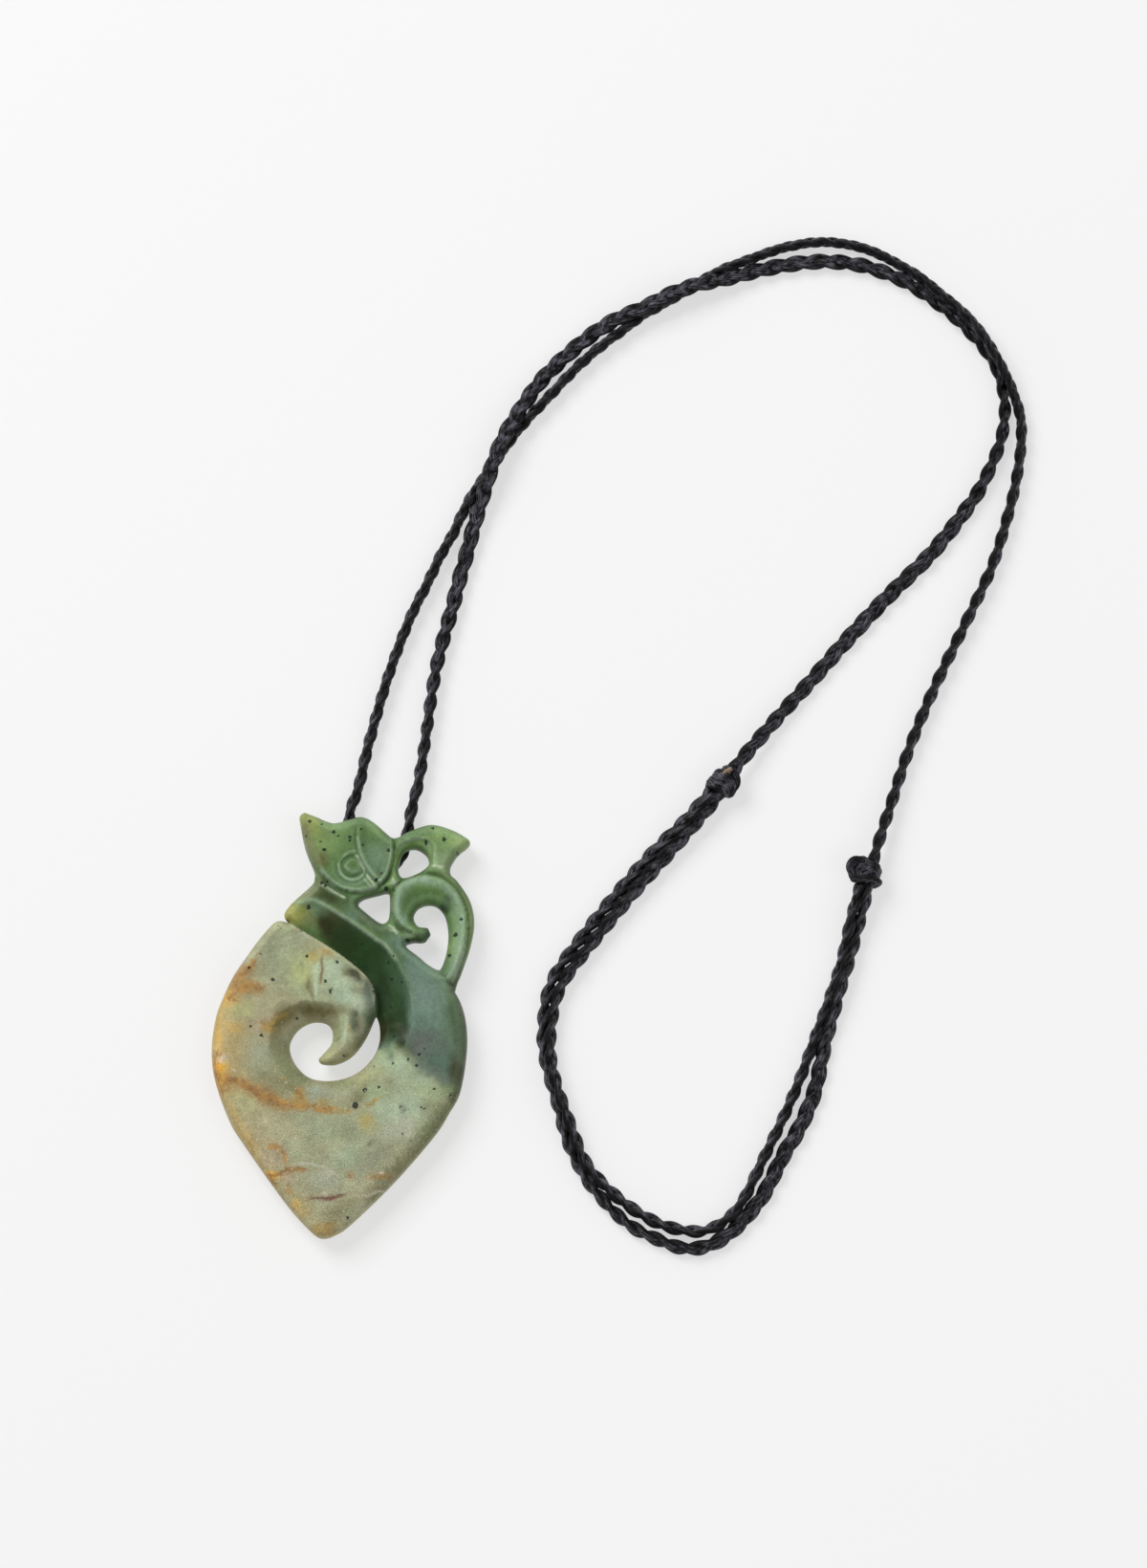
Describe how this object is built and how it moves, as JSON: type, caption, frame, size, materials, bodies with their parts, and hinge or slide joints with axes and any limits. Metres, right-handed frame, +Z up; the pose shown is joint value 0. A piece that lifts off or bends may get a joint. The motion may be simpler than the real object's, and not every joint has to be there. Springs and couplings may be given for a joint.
{
  "type": "carved greenstone fish hook pendant on a plaited cord",
  "caption": "Flat carved jade-green hook pendant with a curled eye, a barb, an eared head and a spiral crest, on a black plaited cord with two sliding knots",
  "frame": {"origin": "under the middle of the stone's box, on the surface that it lies on", "axes": "+Y runs from the foot of the hook to its head, +Z up out of the carved face, +X to the right of someone who looks at the face"},
  "size_m": [0.1422, 0.18, 0.0068],
  "materials": {
    "stone": "satin polished nephrite, mottled green with rust-orange stains",
    "cord": "waxed black plait"
  },
  "bodies": {
    "root": {"pendant": "stone", "left_cord": "cord", "right_cord": "cord", "upper_knot": "cord", "lower_knot": "cord"}
  },
  "joints": []
}
